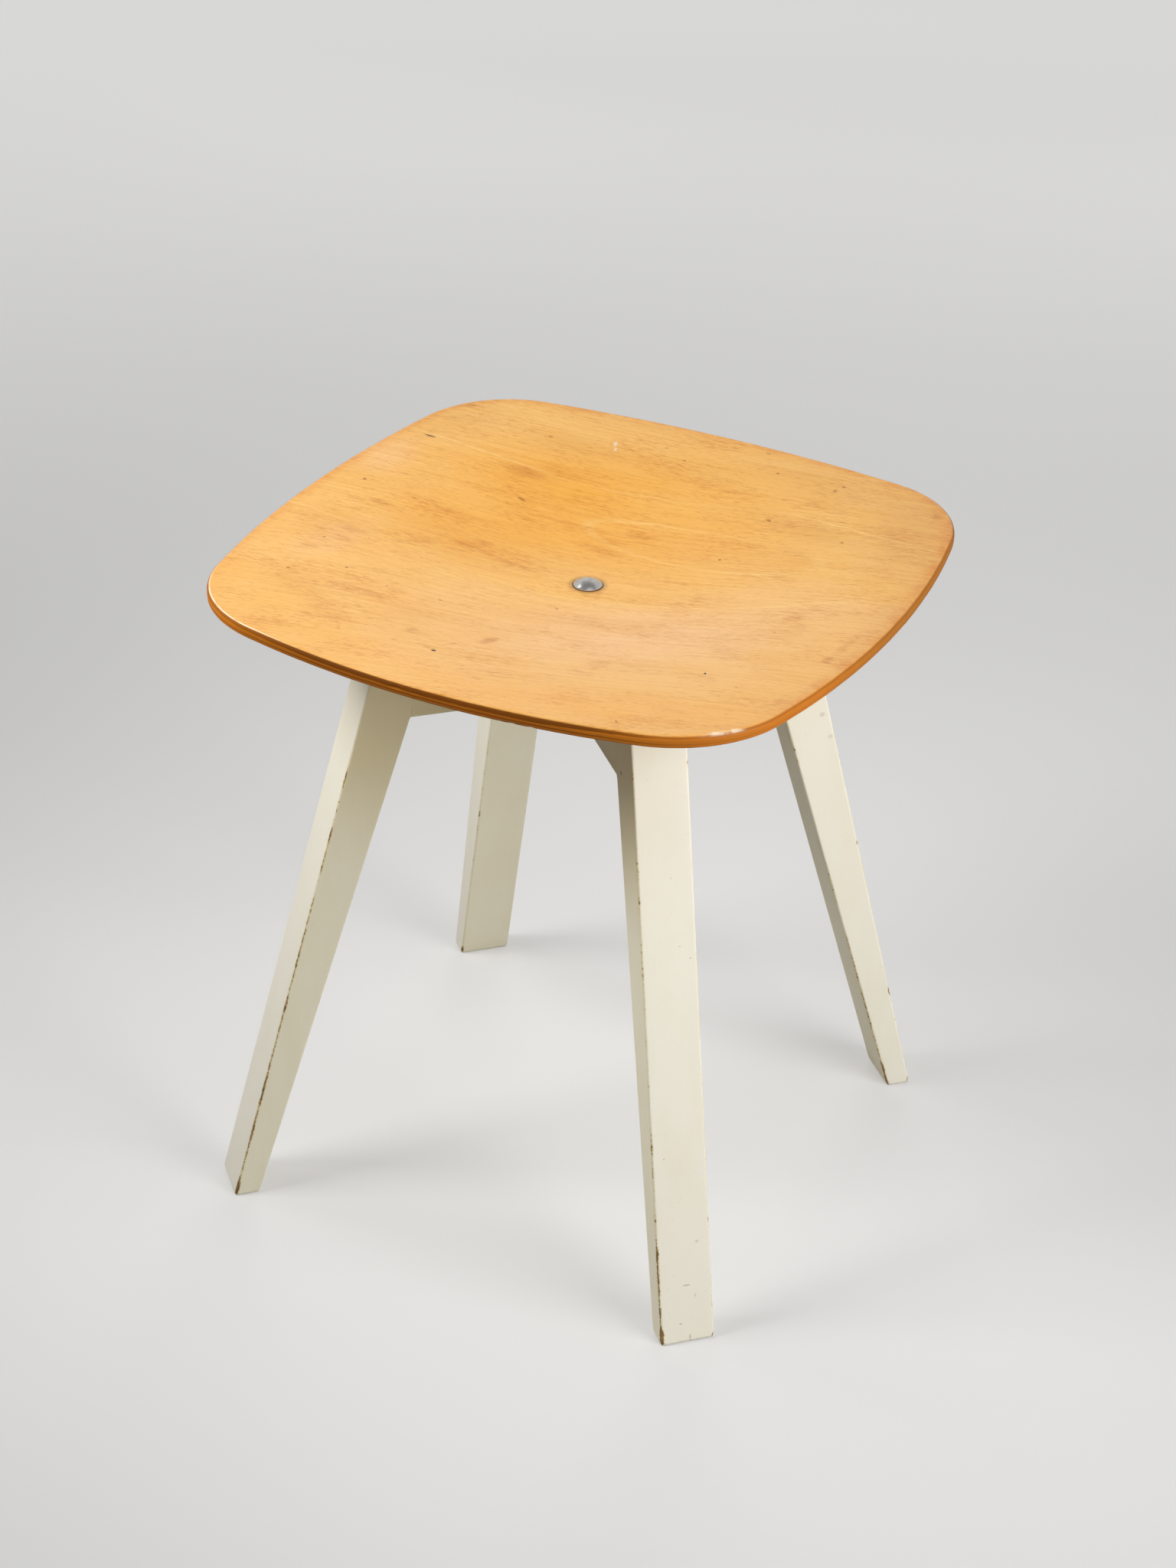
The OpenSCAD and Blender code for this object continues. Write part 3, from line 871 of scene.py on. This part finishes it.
def leg(name, paint, wood):
    degrees = LEGS[name]
    mesh = grid_mesh(name + "_painted", turned(leg_rings(WEAR[name]), degrees))
    mesh.materials.append(paint)
    piece = link(name + "_painted", mesh)
    for level in range(2):
        hole = grid_mesh("hole", turned(dowel_hole(level, -2, HOLE_IN_LEG), degrees))
        hole.materials.append(wood)
        cut(piece, hole)
    local = turned(points_of(piece.data), -degrees)
    store(piece.data, "bare", worn_paint(local, WEAR[name]))
    store(piece.data, "along", local)
    r, t, z = local.T
    inner = leg_faces(z)[1]
    # Painted shade: the inner face, and the side named in the table, take a darker, yellower tint
    # for the shade under the seat
    painted_shade = step(r - inner, 2, 0)
    if name in PAINTED_SHADE_SIDE:
        on_side = step(t * PAINTED_SHADE_SIDE[name], WOOD_T / 2 - 1, WOOD_T / 2)
        painted_shade = np.maximum(painted_shade, on_side)
    store(piece.data, "painted_shade", painted_shade)
    piece.data.set_sharp_from_angle(angle=math.radians(40))
    dress(piece, name)


# Rails

# Radius of the arrises under the seat, which are barely eased
RAIL_TOP_R = 0.4
# Half length of a rail's middle, whose rows are upright; beyond it they lean towards the joint
UPRIGHT_REACH = 60
# Height up to which a rail's rows are level; above it they bend towards the seat's curve
LEVEL_H = 30


def rail_ring(x, share):
    """One ring of a rail along X: at x, or at a share of the way from x to the slanted end."""
    half = WOOD_T / 2
    ring = section(0, RAIL_H, half, [RAIL_TOP_R, ARRIS_R, ARRIS_R, RAIL_TOP_R])
    h, y = ring[:, 0], ring[:, 1]
    z, place = RAIL_Z + h, np.full(len(ring), float(x))
    for _ in range(4):
        bed = bed_z(np.hypot(place, y))
        bent = RAIL_Z + LEVEL_H + (h - LEVEL_H) / (RAIL_H - LEVEL_H) * (bed - RAIL_Z - LEVEL_H)
        z = np.where(h < LEVEL_H, RAIL_Z + h, bent)
        end = JOINT_R - math.tan(JOINT_LEAN) * (z - RAIL_Z)
        place = math.copysign(1, x) * (abs(x) + share * (end - abs(x)))
    return np.stack([place, y, z], 1)


def rail_rings():
    ends = np.linspace(0, 1, 14)[1:]
    rings = [rail_ring(-UPRIGHT_REACH, share) for share in ends[::-1]]
    rings += [rail_ring(x, 0) for x in np.linspace(-UPRIGHT_REACH, UPRIGHT_REACH, 31)]
    rings += [rail_ring(UPRIGHT_REACH, share) for share in ends]
    return np.array(rings)


def box_rings(low, high):
    corners = np.array([(0, 0), (1, 0), (1, 1), (0, 1)])
    plan = np.array(low[:2]) + corners * (np.array(high[:2]) - np.array(low[:2]))
    return np.array([np.column_stack([plan, np.full(4, z)]) for z in (low[2], high[2])])


def rail(name, degrees, notch_low, notch_high, paint, wood):
    mesh = grid_mesh(name + "_painted", turned(rail_rings(), degrees))
    mesh.materials.append(paint)
    piece = link(name + "_painted", mesh)
    notch = WOOD_T / 2 + LAP_GAP
    cuts = [box_rings((-notch, -40, notch_low), (notch, 40, notch_high))]
    cuts.append(rod(np.array([0, 0, RAIL_Z - 9]), np.array([0, 0, STOOL_H]), BORE_D / 2))
    for level in range(2):
        cuts += [turned(dowel_hole(level, -HOLE_IN_RAIL, 2), side) for side in (0, 180)]
    for rings in cuts:
        hole = grid_mesh("hole", turned(rings, degrees))
        hole.materials.append(wood)
        cut(piece, hole)
    local = turned(points_of(piece.data), -degrees)
    arris = np.maximum(local[:, 2] - RAIL_Z, WOOD_T / 2 - np.abs(local[:, 1]))
    store(piece.data, "bare", -0.45 - arris)
    store(piece.data, "along", local[:, [2, 1, 0]])
    # Painted shade: the whole rail, which lies in shade under the seat, takes the same tint
    store(piece.data, "painted_shade", np.ones(len(local)))
    piece.data.set_sharp_from_angle(angle=math.radians(40))
    dress(piece, name)


# Marks on the legs: leg, place across the outer face or distance of a place on the clockwise
# side from the middle, height, half width, half height, strength
PAINT_MARKS = [
    ("leg_front_right", 8.7, 64.5, 1.1, 0.9, 0.3), ("leg_front_right", 0.8, 37.4, 2.2, 0.5, 0.45),
    ("leg_front_right", -9.7, 120, 0.5, 0.4, 0.5), ("leg_front_right", -4.1, 13, 0.9, 0.6, 0.4),
    ("leg_front_right", 6.3, 30, 0.5, 1.4, 0.3), ("leg_front_right", 1.6, 3.5, 0.5, 3.2, 0.5),
    ("leg_front_right", 6.8, 250, 0.5, 0.4, 0.4), ("leg_front_right", 3.2, 292, 0.4, 0.4, 0.4),
    ("leg_front_right", 13.2, 242, 0.6, 0.4, 0.5), ("leg_back_right", 153.6, 303, 1.8, 1.5, 0.25),
    ("leg_back_right", 160.2, 286, 1.7, 1.4, 0.2), ("leg_front_right", 125.4, 346.5, 1.4, 1.4, 0.9),
]


# Colours of the paint and of the bare wood, and tints that multiply them
PAINT = (0.85, 0.81, 0.69)
PAINT_DEEP = (0.83, 0.785, 0.645)
PAINT_EDGE = (0.76, 0.65, 0.36)
PAINT_MARK = (0.30, 0.17, 0.07)
BARE_WOOD = (0.42, 0.25, 0.10)
BARE_WOOD_DARK = (0.13, 0.075, 0.033)
BEECH = (0.70, 0.51, 0.30)
BEECH_RING = (0.58, 0.39, 0.21)
# Tints of painted shade, for faces in shade under the seat, and deeper near the seat
PAINTED_SHADE_TINT = (0.96, 0.94, 0.86)
PAINTED_SHADE_HIGH_TINT = (0.90, 0.85, 0.70)
BRUSH_TINT = (0.93, 0.91, 0.85)
SPECK_TINT = (0.62, 0.5, 0.34)
BEECH_RAY_TINT = (0.7, 0.6, 0.5)


def paint_marks(g, here):
    mask = 0.0
    for name, t, z, half_wide, half_high, strength in PAINT_MARKS:
        on_side = abs(t) > 40
        r = t if on_side else float(leg_faces(np.array(float(z)))[0])
        place = turned(np.array([[r, -WOOD_T / 2 if on_side else t, z]]), LEGS[name])[0]
        away = g.vector("SUBTRACT", here, tuple(place))
        away = g.vector("MULTIPLY", away, (1 / half_wide, 1 / half_wide, 1 / half_high))
        mask = g.most(mask, g.reach(g.vector("LENGTH", away), 1.5, 0.5, 0, strength))
    return mask


def paint_material():
    g = new_graph("frame_paint")
    here = g.place()
    along = g.attribute("along", "Vector")
    brush = g.noise(along, (1.4, 1.4, 70), detail=3, roughness=0.6)
    cloud = g.noise(along, (30, 30, 90), detail=4)
    colour = g.mix(g.reach(cloud, 0.35, 0.7), PAINT, PAINT_DEEP)
    # Painted shade: faces in shade under the seat turn darker and yellower, more so near the seat
    painted_shade = g.attribute("painted_shade", "Fac")
    colour = g.stained(painted_shade, colour, PAINTED_SHADE_TINT)
    high = g.times(painted_shade, g.reach(g.split(here)[2], 240, 330))
    colour = g.stained(high, colour, PAINTED_SHADE_HIGH_TINT)
    colour = g.stained(g.reach(brush, 0.5, 0.8, 0, 0.2), colour, BRUSH_TINT)
    speck = g.noise(here, (1.4, 1.4, 1.4), detail=1)
    colour = g.stained(g.reach(speck, 0.75, 0.79, 0, 0.4), colour, SPECK_TINT)
    fine = g.noise(here, (1.1, 1.1, 1.7), detail=3)
    coarse = g.noise(here, (5, 5, 11), detail=2)
    rough = g.add(g.attribute("bare", "Fac"), g.math("MULTIPLY_ADD", fine, 1.9, -0.95))
    rough = g.add(rough, g.math("MULTIPLY_ADD", coarse, 1.8, -0.9))
    colour = g.mix(g.reach(rough, -1.0, -0.05, 0, 0.75), colour, PAINT_EDGE)
    streak = g.noise(along, (0.9, 0.9, 9), detail=3)
    wood = g.mix(g.reach(streak, 0.35, 0.65), BARE_WOOD, BARE_WOOD_DARK)
    bare = g.reach(rough, -0.1, 0.15)
    colour = g.mix(bare, colour, wood)
    colour = g.mix(paint_marks(g, here), colour, PAINT_MARK)
    paint_height = g.add(g.math("SUBTRACT", 1.0, bare), g.times(brush, 0.12))
    return g.finish({
        "Base Color": colour,
        "Roughness": g.reach(bare, 0, 1, 0.42, 0.75),
        "Normal": g.bump(paint_height, 0.15, 0.7),
    })


def wood_material():
    """Bare beech of the dowels and the holes."""
    g = new_graph("dowel_wood")
    here = g.place()
    ray = g.noise(here, (0.5, 0.5, 3), detail=2)
    ring = g.noise(here, (2, 2, 24), detail=3)
    colour = g.mix(ring, BEECH, BEECH_RING)
    colour = g.stained(g.reach(ray, 0.55, 0.75, 0, 0.5), colour, BEECH_RAY_TINT)
    return g.finish({"Base Color": colour, "Roughness": 0.62, "Normal": g.bump(ring, 0.05, 0.5)})


# Bolt, washer and nut

STEEL = (0.66, 0.65, 0.62)
ZINC = (0.50, 0.50, 0.49)
BLOTCH_TINT = (0.72, 0.7, 0.68)


def hexagon(t):
    """Distance from the middle to the side of the nut, in a direction."""
    return NUT_W / 2 / np.cos((t + np.pi / 6) % (np.pi / 3) - np.pi / 6)


def square(t):
    """Distance from the middle to the side of the bolt's square neck, in a direction."""
    return BOLT_D / 2 / np.maximum(np.abs(np.cos(t)), np.abs(np.sin(t)))


def upright(rows, around):
    """Rings about the upright axis from rows of a height and a radius in each direction."""
    t = 2 * np.pi * np.arange(around) / around
    rings = []
    for z, radius in rows:
        r = radius(t) if callable(radius) else np.full(around, float(radius))
        rings.append(np.stack([r * np.cos(t), r * np.sin(t), np.full(around, float(z))], 1))
    return np.array(rings)


def bolt_rows():
    bulge = HEAD_H - HEAD_EDGE
    dome_r = (HEAD_D ** 2 / 4 + bulge ** 2) / (2 * bulge)
    widest = math.asin(HEAD_D / 2 / dome_r)
    rows = [(LAND_Z + HEAD_H - dome_r * (1 - math.cos(a)), dome_r * math.sin(a))
            for a in np.linspace(0.002, widest * 0.985, 26)]
    rows += [(LAND_Z + HEAD_EDGE, HEAD_D / 2 - 0.03), (LAND_Z + 0.3, HEAD_D / 2)]
    rows += [(LAND_Z + 0.04, HEAD_D / 2 - 0.06), (LAND_Z, HEAD_D / 2 - 0.3)]
    rows += [(LAND_Z, square), (LAND_Z - NECK_H + 0.3, square), (LAND_Z - NECK_H, BOLT_D / 2)]
    thread_top = RAIL_Z + 3
    rows += [(thread_top + 1, BOLT_D / 2)]
    end = RAIL_Z - WASHER_T - NUT_H - BOLT_TAIL
    for z in np.arange(thread_top, end, -0.125):
        most = min(BOLT_D / 2, BOLT_D / 2 - BOLT_CHAMFER + z - end)
        rows.append((z, lambda t, z=z, most=most: np.minimum(thread_radius(z, t), most)))
    rows.append((end, BOLT_D / 2 - BOLT_CHAMFER - 0.1))
    return rows


def thread_radius(z, t):
    """Radius of the bolt's thread, which climbs its pitch in each turn."""
    turn = (z / THREAD_PITCH - t / (2 * np.pi)) % 1
    return BOLT_D / 2 - THREAD_DEPTH * np.clip(1.25 - 2.5 * np.abs(turn - 0.5), 0, 1)


def bolt(steel):
    mesh = grid_mesh("bolt_threaded", upright(bolt_rows(), 64))
    mesh.materials.append(steel)
    mesh.set_sharp_from_angle(angle=math.radians(35))
    dress(link("bolt_threaded", mesh), "bolt")


def washer(zinc):
    top, low = RAIL_Z, RAIL_Z - WASHER_T
    outer, inner = WASHER_D / 2, WASHER_BORE / 2
    rows = [(top, inner + 0.2), (top, outer - 0.4), (top - 0.12, outer - 0.12), (top - 0.4, outer)]
    rows += [(low + 0.3, outer), (low + 0.05, outer - 0.08), (low, outer - 0.25)]
    rows += [(low, inner + 0.2), (low + 0.2, inner), (top - 0.2, inner)]
    mesh = grid_mesh("washer_rounded", upright(rows, 96), "joined")
    mesh.materials.append(zinc)
    mesh.set_sharp_from_angle(angle=math.radians(35))
    dress(link("washer_rounded", mesh), "washer")


def chamfered(t, depth):
    """The hexagon where the nut is turned down, at a depth below one of its faces."""
    return np.minimum(hexagon(t), NUT_W / 2 - 0.1 + depth / math.tan(NUT_CHAMFER))


def nut(zinc):
    top, low = RAIL_Z - WASHER_T, RAIL_Z - WASHER_T - NUT_H
    rows = [(top, NUT_BORE / 2 + 0.5)]
    for depth in CHAMFER_ROWS:
        rows.append((top - depth, lambda t, d=depth: chamfered(t, d)))
    for depth in CHAMFER_ROWS[::-1]:
        rows.append((low + depth, lambda t, d=depth: chamfered(t, d)))
    rows += [(low, NUT_BORE / 2 + 0.5), (low + 0.5, NUT_BORE / 2), (top - 0.5, NUT_BORE / 2)]
    mesh = grid_mesh("nut_turned", upright(rows, 96), "joined")
    mesh.materials.append(zinc)
    mesh.set_sharp_from_angle(angle=math.radians(28))
    dress(link("nut_turned", mesh), "nut")


def steel_material(name, colour, low, high):
    """Metal with fine scratches and blotches, its roughness from low to high."""
    g = new_graph(name)
    here = g.place()
    blotch = g.noise(here, (3, 3, 3), detail=4)
    scratch = g.noise(here, (0.25, 6, 6), detail=2)
    shade = g.stained(g.reach(blotch, 0.4, 0.7, 0, 0.5), colour, BLOTCH_TINT)
    return g.finish({
        "Base Color": shade,
        "Metallic": 1.0,
        "Roughness": g.reach(blotch, 0.3, 0.7, low, high),
        "Normal": g.bump(g.add(scratch, blotch), 0.02, 0.5),
    })


# Studio

FLOOR_HALF = 8
FLOOR_COLOUR = (0.44, 0.437, 0.43)
FLOOR_GLOW = (1, 0.997, 0.99)
WALL_LIGHT = (0.27, 0.26, 0.235)
CEILING_LIGHT = (0.11, 0.11, 0.11)
WALL_GREY = 0.72
CEILING_GREY = 0.3


def floor():
    """A pale floor, clear from below and for the soles that stand on it."""
    mesh = bpy.data.meshes.new("floor")
    half = FLOOR_HALF
    corners = [(-half, -half, 0), (half, -half, 0), (half, half, 0), (-half, half, 0)]
    mesh.from_pydata(corners, [], [(0, 1, 2, 3)])
    made = link("floor", mesh)
    g = new_graph("floor")
    path = g.node("LightPath", {}).outputs
    away = g.vector("LENGTH", g.node("TexCoord", {}).outputs["Object"])
    pale = g.times(path["Is Camera Ray"], g.reach(away, 0.5, 2.5, 0.34, 0.62))
    matt = g.node("BsdfDiffuse", {"Color": FLOOR_COLOUR}).outputs[0]
    seen = g.node("Emission", {"Color": FLOOR_GLOW, "Strength": pale}).outputs[0]
    matt = g.node("AddShader", {0: matt, 1: seen}).outputs[0]
    clear = g.node("BsdfTransparent", {}).outputs[0]
    below = g.node("NewGeometry", {}).outputs["Backfacing"]
    below = g.most(below, g.math("LESS_THAN", path["Ray Length"], MM))
    g.node("OutputMaterial", {0: g.node("MixShader", {0: below, 1: matt, 2: clear}).outputs[0]})
    mesh.materials.append(g.owner)


# Soft boxes: name, direction and elevation in degrees, distance and size in metres, power in
# watts, spread in degrees, and whether gloss mirrors them
LAMPS = [
    ("right", -9, 15, 1.45, 1.05, 6.6, 90, False),
    ("left", -140, 37, 1.35, 0.6, 2.8, 70, False),
    ("far_left", -177, 20, 1.45, 0.6, 0.75, 70, False),
    ("glint", 180, 50, 1.2, 0.2, 0.5, 180, True),
    ("above", -35, 65, 1.5, 0.9, 1.1, 180, True),
    ("behind", 110, 15, 2.3, 1.5, 5, 90, False),
]


def lamp(name, direction, elevation, distance, size, power, spread, mirrored):
    """A square soft box that shines at the middle of the seat."""
    data = bpy.data.lights.new(name, "AREA")
    data.shape = "SQUARE"
    data.size = size
    data.energy = power
    data.spread = math.radians(spread)
    made = link(name, data)
    a, e = math.radians(direction), math.radians(elevation)
    away = Vector((math.cos(e) * math.cos(a), math.cos(e) * math.sin(a), math.sin(e)))
    made.location = Vector((0, 0, STOOL_H * MM)) + distance * away
    made.rotation_euler = away.to_track_quat("Z", "Y").to_euler()
    made.visible_camera = False
    made.visible_glossy = mirrored


def surroundings():
    """A pale room, brighter at its walls than overhead. Camera and gloss see it in greys."""
    world = bpy.data.worlds.new("room")
    g = Graph(world)
    height = g.split(g.node("TexCoord", {}).outputs["Generated"])[2]
    colour = g.mix(g.reach(height, 0.1, 0.6), WALL_LIGHT, CEILING_LIGHT)
    path = g.node("LightPath", {}).outputs
    seen = g.most(path["Is Camera Ray"], path["Is Glossy Ray"])
    colour = g.mix(seen, colour, g.reach(height, 0.6, 0.95, WALL_GREY, CEILING_GREY))
    g.node("OutputWorld", {0: g.node("Background", {"Color": colour}).outputs[0]})
    bpy.context.scene.world = world


def camera():
    yaw, pitch, roll = (math.radians(a) for a in (CAMERA_YAW, CAMERA_PITCH, CAMERA_ROLL))
    x = math.sin(yaw) * math.cos(pitch)
    y = math.cos(yaw) * math.cos(pitch)
    forward = Vector((x, y, -math.sin(pitch)))
    level = Vector((math.cos(yaw), -math.sin(yaw), 0))
    upward = level.cross(forward)
    right = math.cos(roll) * level + math.sin(roll) * upward
    up = math.cos(roll) * upward - math.sin(roll) * level
    made = link("camera", bpy.data.cameras.new("camera"))
    made.data.lens = CAMERA_LENS
    turn = Matrix((right, up, -forward)).transposed().to_4x4()
    made.matrix_world = Matrix.Translation(Vector(CAMERA_PLACE) * MM) @ turn
    bpy.context.scene.camera = made


def main():
    bpy.context.scene.view_settings.view_transform = "Standard"
    camera()
    floor()
    surroundings()
    for settings in LAMPS:
        lamp(*settings)
    paint, wood = paint_material(), wood_material()
    seat()
    for name in LEGS:
        leg(name, paint, wood)
    rail("rail_over", LEGS["leg_front_right"], RAIL_Z - 5, LAP_Z + 0.05, paint, wood)
    rail("rail_under", LEGS["leg_back_right"], LAP_Z - 0.05, STOOL_H, paint, wood)
    bolt(steel_material("bolt_steel", STEEL, 0.18, 0.3))
    zinc = steel_material("zinc_steel", ZINC, 0.4, 0.6)
    washer(zinc)
    nut(zinc)
    for name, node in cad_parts.items():
        if name.startswith("dowel"):
            node.material_slots[0].link = "OBJECT"
            node.material_slots[0].material = wood


main()
